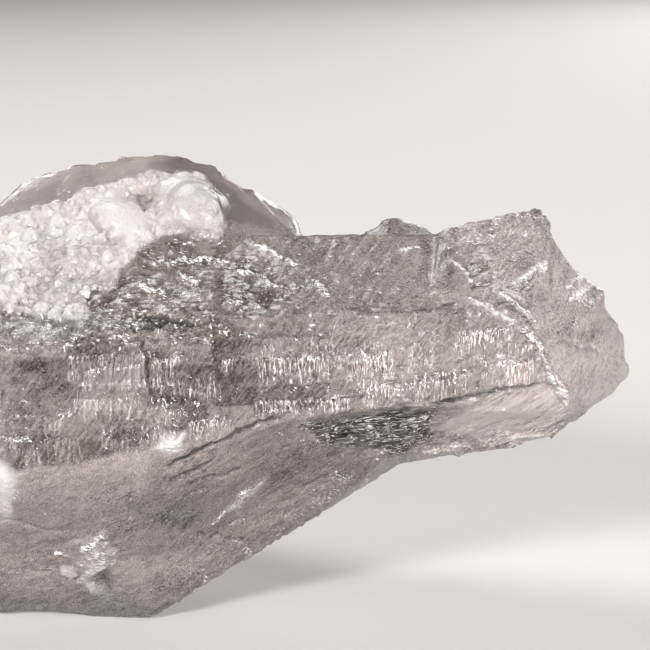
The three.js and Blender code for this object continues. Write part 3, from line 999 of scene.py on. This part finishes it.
# %% [markdown]
# ## Materials
# Every material here is made of the same few things: patterns, numbers that the vertices store, and sums.
# So one function adds a node of any kind with its settings and links. Colours are written as sRGB hex, as
# on a colour card, and turned into the linear numbers that Blender works in.


# %% Material helpers
def linear(code):
    """An sRGB hex colour as linear red, green, blue and alpha."""
    values = [int(code[i : i + 2], 16) / 255 for i in (0, 2, 4)]
    return [v / 12.92 if v <= 0.04045 else ((v + 0.055) / 1.055) ** 2.4 for v in values] + [1]


def feed(tree, made, inputs):
    """Gives a node's inputs numbers, colours or the outputs of other nodes."""
    for name, value in inputs.items():
        if isinstance(value, bpy.types.NodeSocket):
            tree.links.new(value, made.inputs[name])
        else:
            made.inputs[name].default_value = linear(value) if isinstance(value, str) else value


def node(tree, kind, *inputs, output=0, **settings):
    """Adds a node, such as "TexNoise" or "Math MULTIPLY", and gives back one of its outputs.

    Inputs come in order, or by name with a capital. A name in lower case is a property of the node.
    """
    kind, _, operation = kind.partition(" ")
    made = tree.nodes.new("ShaderNode" + kind)
    if operation:
        made.operation = operation
    named = {name: value for name, value in settings.items() if name[0].isupper()}
    for name in settings.keys() - named.keys():
        setattr(made, name, settings[name])
    feed(tree, made, {**dict(enumerate(inputs)), **named})
    return made.outputs[output]


def pattern(tree, kind, size, stretch=(1, 1, 1), turn=0.0, **settings):
    """A texture with features of this many millimetres, stretched along axes that are turned about Y."""
    where = node(tree, "TexCoord", output="Object")
    turned = node(tree, "Mapping", where, Rotation=(0, turn, 0), Scale=stretch, vector_type="TEXTURE")
    return node(tree, kind, Vector=turned, Scale=1 / (size * MM), **settings)


def surface(tree, bump, **inputs):
    """Feeds the shader, and a bump whose height is in millimetres."""
    inputs["Normal"] = node(tree, "Bump", Height=bump, Strength=1.0, Distance=MM)
    inputs = {name.replace("_", " "): value for name, value in inputs.items()}
    feed(tree, tree.nodes["Principled BSDF"], inputs)


# %% [markdown]
# ## Rock crystal
# The stone is clear quartz, faintly smoky. Faces that grew are satin, with steps too fine to model, and
# faces that broke are glassy. Light goes in, so the shader is mostly transmission with quartz's own index
# of refraction, and a volume takes up a little of it, which makes the thick parts warm and dark. A thin
# coat keeps a sharp gloss on top of the satin.
#
# What is finer than the mesh is drawn by patterns, in the colour and in the bump: growth lines a quarter
# of a millimetre apart, pits, slanting scratches, glints and hair lines. The real ones are finer still,
# and these are as coarse as they need to be to show. The glints, sparkles, pale growth lines and the hair
# lines' pale and dark sides are painted light and shade in the colour, as is the shade in hollows and
# cracks.

# %% Rock crystal: what lies on it
QUARTZ_IOR = 1.544
SMOKE_DENSITY = 6  # per metre, so that 50 mm of stone takes up about an eighth of the light


def uneven(add, amount, cloud, strength, start, end):
    """An amount whose edge is made ragged by a noise."""
    edge = add("Math MULTIPLY_ADD", cloud, strength, amount)
    return add("Math MULTIPLY", amount, add("MapRange", edge, start, end, 0, 1))


def contour(add, cloud, level, width):
    """1 along the line where a noise passes a level, falling to 0 at this width."""
    gap = add("Math ABSOLUTE", add("Math SUBTRACT", cloud, level))
    return add("MapRange", gap, 0, width, 1, 0)


def fine_marks(add, noise, here):
    """Works out the fine patterns, and where each of them shows."""
    here.fine, here.medium = noise(0.22, Detail=1), noise(0.6, Detail=2)
    here.slanted = noise(0.4, (5, 1, 1), -0.95, Detail=2)
    # the crust and the cracks end in edges that are more ragged than the mesh can store
    here.crust = uneven(add, here.crust, here.medium, 0.25, 0.36, 0.5)
    here.cracks = uneven(add, here.cracks, here.fine, 0.4, 0.5, 0.7)
    here.white = add("Math MAXIMUM", here.crust, here.milk)
    # growth lines: an upright comb, worn away here and there, raised in the bump and painted paler as
    # highlights
    comb = add("MapRange", noise(0.23, (1, 1, 7), Detail=1), 0.49, 0.6, -0.3, 1)
    worn = add("MapRange", here.medium, 0.35, 0.65, 0.5, 1.25)
    here.strokes = add("Math MULTIPLY", worn, add("Math MULTIPLY", comb, here.ticks))
    # hair lines: a painted highlight with a painted shade line beside it, as on a thin step
    feather = noise(0.9, (4, 1, 1), -0.6, Detail=3)
    step_highlight_and_shade = add("Math SUBTRACT", contour(add, feather, 0.5, 0.05), contour(add, feather, 0.6, 0.05))
    here.hair = add("Math MULTIPLY", step_highlight_and_shade, here.hairs)
    # painted highlights: thin pale lines drawn over the painted shade of the hollow, like lit ridges
    here.scrawl = contour(add, noise(0.6, (12, 1, 1), -0.12, Detail=1), 0.5, 0.035)
    # painted glints: white at the brightest bits of a chipped noise, more of them where the stone glitters
    chipped = add("Math MULTIPLY_ADD", noise(2.4, Detail=1), 0.5, noise(0.26, (3, 1, 1), 0.35, Detail=2))
    chosen = add("Math MULTIPLY_ADD", here.glitter, 0.22, chipped)
    dulled = add("MapRange", here.glossy, 0.7, 1, 1.0, 0.1)
    here.glints = add("Math MULTIPLY", add("MapRange", chosen, 0.98, 1.04, 0, 1), dulled)


# %% Rock crystal: shade and colour
def stone_shade(add, here):
    """How pale the stone is: its stored tone, and what each fine pattern adds, painted highlights among
    them.
    """
    # painted sparkles: the brightest bits of the fine noise, made paler
    painted_sparkles = add("MapRange", here.fine, 0.62, 0.72, 0, 0.5)
    slant = add("MapRange", here.slanted, 0.3, 0.7, -0.5, 0.5)
    slant = add("Math MULTIPLY", slant, add("MapRange", here.glossy, 0.7, 0.8, 1, 0.15))
    shade = here.tone
    for mark, amount in (
        (add("MapRange", here.fine, 0.34, 0.66, -0.5, 0.5), add("MapRange", here.glossy, 0, 1, 0.46, 0.1)),
        (add("MapRange", here.medium, 0.3, 0.7, -0.5, 0.5), 0.09),
        (here.strokes, 1.05),
        (painted_sparkles, add("MapRange", here.glossy, 0.4, 0.9, 1, 0)),
        (slant, add("MapRange", here.frosted, 0, 0.7, 0.05, 0.28)),
        (here.hair, 0.3),
    ):
        shade = add("Math MULTIPLY_ADD", mark, amount, shade)
    return shade


def stone_colour(add, here):
    """From smoke to rosy white by its shade, with each finish, painted glints and shade among them, laid
    over it in turn.
    """
    colour = add("MixRGB", stone_shade(add, here), "3A2D2A", "FFF1EC")
    for amount, over in (
        (add("Math MULTIPLY", here.brown, 0.3), "9C8778"),  # browner in the notch, the dimple and broad patches
        (add("MapRange", here.strokes, 0.45, 1, 0, 0.55), "F6F4F2"),  # painted highlights on the growth lines
        (here.glints, "FAF8F6"),  # painted glints on the chips
        (here.dark, "291F1C"),  # painted shade in the hollows and valleys, with the scribble's lines in it
        (add("Math MULTIPLY", here.scrawl, here.dark), "F2ECE8"),
        # painted shade in the cracks
        (add("Math MULTIPLY", here.cracks, 0.9), "282321"),
        (here.white, "CCC5C2"),  # crust and milky places, the milky ones whiter still
        (add("Math MULTIPLY", here.milk, 0.7), "EAE6E3"),
    ):
        colour = add("MixRGB", amount, colour, over)
    return colour


# %% Rock crystal: clearness, roughness and bump
def clearness(add, here):
    """How much light goes in: less where the stone is frosted, least where it is white or cracked."""
    broken = add("Math MAXIMUM", here.dark, here.cracks)
    cloudy = here.white
    for mark, strength in ((here.glints, 0.8), (here.strokes, 0.7), (broken, 0.9)):
        cloudy = add("Math MAXIMUM", cloudy, add("Math MULTIPLY", mark, strength))
    clear = add("MapRange", here.frosted, 0, 1, 0.88, 0.62)
    return add("Math MULTIPLY", clear, add("MapRange", cloudy, 0, 1, 1, 0.25))


def stone_roughness(add, noise, here):
    """About 0.3 where the stone is satin and 0.1 where it is glassy; white places and painted shade are
    rougher.
    """
    smears = add("MapRange", noise(1.2, Detail=3), 0.35, 0.7, 0.0, 0.08)
    roughness = add("Math ADD", smears, add("MapRange", here.glossy, 0.5, 1, 0.28, 0.1))
    return add("Math MULTIPLY_ADD", add("Math MAXIMUM", here.white, here.dark), 0.2, roughness)


def stone_bump(add, noise, facets, here):
    """Heights in millimetres of what is finer than the mesh."""
    bump = add("Math MULTIPLY", facets(0.6), add("Math MULTIPLY_ADD", here.glitter, 0.3, 0.02))
    for mark, tall in ((here.fine, 0.05), (here.strokes, 0.14), (here.slanted, 0.08)):
        bump = add("Math MULTIPLY_ADD", mark, tall, bump)
    swell = add("Math MULTIPLY", noise(2.2, (1.4, 1, 1), -0.5, Detail=3), 0.17)
    bump = add("Math MULTIPLY_ADD", bump, add("MapRange", here.glossy, 0, 1, 1, 0.25), swell)
    crumbs = add("Math MULTIPLY", add("Math SUBTRACT", here.medium, facets(0.9)), here.crust)
    for mark, tall in ((here.hair, 0.06), (crumbs, 0.15)):
        bump = add("Math MULTIPLY_ADD", mark, tall, bump)
    return bump


def rock_crystal():
    """Faintly smoky quartz: clear inside, satin outside, and white where it is crusted."""
    material = bpy.data.materials.new("faintly smoky rock crystal")
    material.use_nodes = True
    tree = material.node_tree
    add = partial(node, tree)
    noise, facets = partial(pattern, tree, "TexNoise"), partial(pattern, tree, "TexVoronoi")
    here = SimpleNamespace(**{name: add("Attribute", attribute_name=name, output="Fac") for name in marks})
    fine_marks(add, noise, here)
    surface(
        tree,
        stone_bump(add, noise, facets, here),
        Base_Color=stone_colour(add, here),
        Roughness=stone_roughness(add, noise, here),
        Transmission_Weight=clearness(add, here),
        IOR=QUARTZ_IOR,
        Coat_Weight=0.25,
        Coat_Roughness=0.12,
        Coat_IOR=QUARTZ_IOR,
    )
    smoke = add("VolumeAbsorption", Color="C9BAB0", Density=SMOKE_DENSITY)
    feed(tree, tree.nodes["Material Output"], {"Volume": smoke})
    return material


stone_mesh.materials.clear()
stone_mesh.materials.append(rock_crystal())
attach(stone, "root")
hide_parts("crystal")
print("nodes in the rock crystal:", len(stone_mesh.materials[0].node_tree.nodes))

# %% [markdown]
# ## The crust's grains
# Single small crystals stand on the crust, each a stunted lump with flat sides. They are one joined mesh,
# because they are grown into each other. Sprinkled particles would be quicker, but every grain has to be
# real geometry.

# %% Grains
GRAIN_COUNT = 0.14  # grains on each square millimetre of crust
GRAIN_SIZES = (0.35, 1.3)  # radius in mm
DENTS = 7  # flat sides cut into each


def pebble():
    """A unit lump with eighty flat sides, as vertices and triangles."""
    work = bmesh.new()
    bmesh.ops.create_icosphere(work, subdivisions=2, radius=1)
    corners = np.array([v.co for v in work.verts])
    sides = np.array([[v.index for v in face.verts] for face in work.faces])
    work.free()
    return corners, sides


def grain_mesh(name, places, outward, sizes, dice):
    """Lumps at these places, each squashed and cut flat in its own way, as one mesh."""
    corners, sides = pebble()
    count = len(places)
    squash = dice.uniform(0.65, 1.25, (count, 1, 3))
    shapes = corners[None] * squash * sizes[:, None, None]
    cuts = dice.normal(size=(count, DENTS, 3))
    cuts /= np.linalg.norm(cuts, axis=2)[:, :, None]
    for k in range(DENTS):
        plane = cuts[:, k]
        past = (shapes * plane[:, None]).sum(2) - 0.5 * sizes[:, None]
        shapes -= np.maximum(past, 0)[:, :, None] * plane[:, None]
    shapes += (places - 0.35 * outward * sizes[:, None])[:, None]
    numbers = (sides[None] + (np.arange(count) * len(corners))[:, None, None]).reshape(-1, 3)
    mesh = bpy.data.meshes.new(name)
    mesh.from_pydata(shapes.reshape(-1, 3) * MM, [], numbers.tolist())
    return mesh


dice = np.random.default_rng(7)
spans = np.linalg.norm(points[edges[:, 0]] - points[edges[:, 1]], axis=1)
# mm from each vertex to its neighbours, because grains are strewn by area and not by vertex
reach = np.bincount(edges.ravel(), np.repeat(spans, 2)) / np.bincount(edges.ravel())
chance = dice.random(len(points)) / reach**2
on_crust = np.flatnonzero(chance < GRAIN_COUNT * (whitened > 0.35) * (lobes < 0.3) * (dimple < 0.2))
small_size, large_size = GRAIN_SIZES
sizes = small_size + (large_size - small_size) * dice.random(len(on_crust)) ** 2.5
grains_mesh = grain_mesh("crust_grains", moved[on_crust], normals[on_crust], sizes, dice)
per_grain = len(grains_mesh.vertices) // len(on_crust)
stored(grains_mesh, "tone", np.repeat(dice.random(len(on_crust)), per_grain))
stored(grains_mesh, "rust", np.repeat((dice.random(len(on_crust)) < 0.03) * (sizes < 0.7), per_grain))
grains = added("crust_grains", grains_mesh, sharp_angle=18)
print("grains:", len(on_crust), "triangles:", len(grains_mesh.polygons))

# %% [markdown]
# ## Milky quartz
# The grains and the veils are the same quartz, but full of bubbles too small to see. They throw the light
# back before it gets far, so the stone looks white and soft, with a gloss only on top. A little
# transmission is enough, and each grain has its own tone. Rust from the rock stains one small grain in
# thirty.


# %% Milky quartz
def milky_quartz():
    """Milky quartz: white and soft, with a tone for each grain and rust on a few."""
    material = bpy.data.materials.new("milky quartz")
    material.use_nodes = True
    tree = material.node_tree
    add = partial(node, tree)
    tone, rust = (add("Attribute", attribute_name=name, output="Fac") for name in ("tone", "rust"))
    fine = pattern(tree, "TexNoise", 0.3, Detail=2)
    white = add("MixRGB", tone, "B4ABA5", "CEC6C1")
    white = add("MixRGB", add("MapRange", fine, 0.35, 0.65, 0, 0.25), white, "ADA29B")
    white = add("MixRGB", add("Math MULTIPLY", rust, 0.6), white, "B08C6C")
    roughness = add("MapRange", fine, 0.3, 0.7, 0.28, 0.45)
    bump = add("Math MULTIPLY", fine, 0.06)
    surface(tree, bump, Base_Color=white, Roughness=roughness, IOR=QUARTZ_IOR, Transmission_Weight=0.1)
    return material


milky = milky_quartz()
grains_mesh.materials.append(milky)
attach(grains, "root")
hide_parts("crystal")

# %% [markdown]
# ## What is sealed in the stone
# Quartz that cracked while it grew healed again, and each healed crack left a curved veil of tiny
# bubbles. They are real bubbles here, up to 0.4 mm across and so far larger than life, and every one lies
# inside the solid. A painted haze would be quicker, but it would not shift against the surface as the
# stone is turned.

# %% Where the veils lie
VEILS = [
    # middle as fractions of the box, half its length and half its height in mm, and its turns in degrees
    ((0.46, 0.56, 0.86), 9, 4, 20, 35),
    ((0.56, 0.55, 0.62), 12, 7, -25, 15),
    ((0.38, 0.5, 0.42), 14, 8, 35, -20),
    ((0.66, 0.48, 0.55), 13, 6, 10, 40),
    ((0.83, 0.5, 0.62), 9, 7, -35, 20),
    ((0.9, 0.5, 0.57), 6, 5, 30, -30),
    ((0.25, 0.55, 0.4), 12, 9, -15, -35),
    ((0.47, 0.5, 0.2), 11, 5, 20, 10),
]
BUBBLES = 420  # in each veil
BUBBLE_SIZES = (0.08, 0.2)  # radius in mm


def veil(middle, half_long, half_tall, turn, lean):
    """Places strewn over a curved sheet, thinner towards its edge and torn by noise."""
    u, v = dice.uniform(-1, 1, (2, 4 * BUBBLES))
    torn = np.stack([u * half_long, v * half_tall, u * 0], -1)
    kept = (np.hypot(u, v) + 0.5 * clouds(torn, 3.5, 97, 2) < 0.75).nonzero()[0][:BUBBLES]
    sheet = np.stack([u * half_long, 2.2 * u * v + 1.5 * u**2, v * half_tall], -1)[kept]
    a, b = math.radians(turn), math.radians(lean)
    about_z = np.array([[math.cos(a), -math.sin(a), 0], [math.sin(a), math.cos(a), 0], [0, 0, 1]])
    about_x = np.array([[1, 0, 0], [0, math.cos(b), -math.sin(b)], [0, math.sin(b), math.cos(b)]])
    return spot(*middle) + sheet @ (about_z @ about_x).T


def well_inside(places, tree, margin=1.5):
    """Which places lie in the solid, at least this many millimetres under its surface."""
    kept = []
    for place in places:
        nearest, normal, _, gap = tree.find_nearest(Vector(place))
        kept.append(gap > margin and (Vector(place) - nearest).dot(normal) < 0)
    return np.array(kept)


# %% One small eight-sided bubble at each place
bubbles = np.concatenate([veil(*sheet) for sheet in VEILS])
bubbles = bubbles[well_inside(bubbles, solid_tree(solid))]
radii = dice.uniform(*BUBBLE_SIZES, len(bubbles))
corner = np.array([(1, 0, 0), (0, 1, 0), (-1, 0, 0), (0, -1, 0), (0, 0, 1), (0, 0, -1)])
side = np.array([(0, 1, 4), (1, 2, 4), (2, 3, 4), (3, 0, 4), (1, 0, 5), (2, 1, 5), (3, 2, 5), (0, 3, 5)])
bubble_corners = bubbles[:, None] + corner[None] * radii[:, None, None]
bubble_sides = (side[None] + (np.arange(len(bubbles)) * len(corner))[:, None, None]).reshape(-1, 3)
veil_mesh = bpy.data.meshes.new("veils")
veil_mesh.from_pydata(bubble_corners.reshape(-1, 3) * MM, [], bubble_sides.tolist())
stored(veil_mesh, "tone", np.repeat(dice.random(len(bubbles)), len(corner)))
veil_mesh.materials.append(milky)
veils = added("veils_of_bubbles", veil_mesh)
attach(veils, "root")
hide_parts("crystal")
print("bubbles:", len(bubbles))

# %% [markdown]
# ## Floor, light and camera
# The stone lies on a plain pale floor. A large soft lamp above and behind it on the left lights the crust
# and the crest, two smaller ones at the front left and right show the relief, and a soft one behind on
# the right makes the tip glow, as light does in clear quartz. An even white surround would be simpler,
# but it lights all sides alike, and then a clear stone has no shape.

# %% Floor
FLOOR = 12  # metres from the middle to each side, so that it ends far out of sight
floor_mesh = bpy.data.meshes.new("floor")
floor_corners = [(FLOOR * a, FLOOR * b, 0) for a, b in ((-1, -1), (1, -1), (1, 1), (-1, 1))]
floor_mesh.from_pydata(floor_corners, [], [(0, 1, 2, 3)])
floor = bpy.data.objects.new("floor", floor_mesh)
bpy.context.scene.collection.objects.link(floor)
paper = bpy.data.materials.new("pale paper")
paper.use_nodes = True
matt = {"Base Color": "CFCCC8", "Roughness": 0.9, "Specular IOR Level": 0.1}
feed(paper.node_tree, paper.node_tree.nodes["Principled BSDF"], matt)
floor_mesh.materials.append(paper)

# %% Lights
LAMPS = [
    # name, place in mm, width in mm, power in watts
    ("key_top_back", (-450, 450, 1100), 600, 9),
    ("front_left", (-700, -900, 700), 300, 15),
    ("front_right", (800, -900, 450), 300, 17),
    ("rim_behind", (600, 1000, 450), 600, 6),
]


def aimed(thing, place, target):
    """Puts a lamp or camera at a place in mm, looking at a target."""
    thing.location = Vector(place) * MM
    thing.rotation_euler = (Vector(target) * MM - thing.location).to_track_quat("-Z", "Y").to_euler()
    bpy.context.scene.collection.objects.link(thing)


for name, place, width, watts in LAMPS:
    lamp = bpy.data.lights.new(name, "AREA")
    lamp.shape = "SQUARE"
    lamp.size = width * MM
    lamp.energy = watts
    aimed(bpy.data.objects.new(name, lamp), place, spot(0.6, 0.5, 0.5))
world = bpy.data.worlds.new("studio")
bpy.context.scene.world = world
world.use_nodes = True
feed(world.node_tree, world.node_tree.nodes["Background"], {"Color": "D0CECC", "Strength": 0.16})
bpy.context.scene.view_settings.view_transform = "Standard"  # colours as they are given, not film-like
print("lamps:", len(LAMPS))

# %% Camera
DISTANCE = 300  # mm
camera_data = bpy.data.cameras.new("camera")
camera_data.lens = 100  # mm, a portrait lens, which keeps the near end from looking swollen
target = spot(0.66, 0.5, 0.6263)
camera = bpy.data.objects.new("camera", camera_data)
aimed(camera, target + DISTANCE * SIGHT, target)
bpy.context.scene.camera = camera
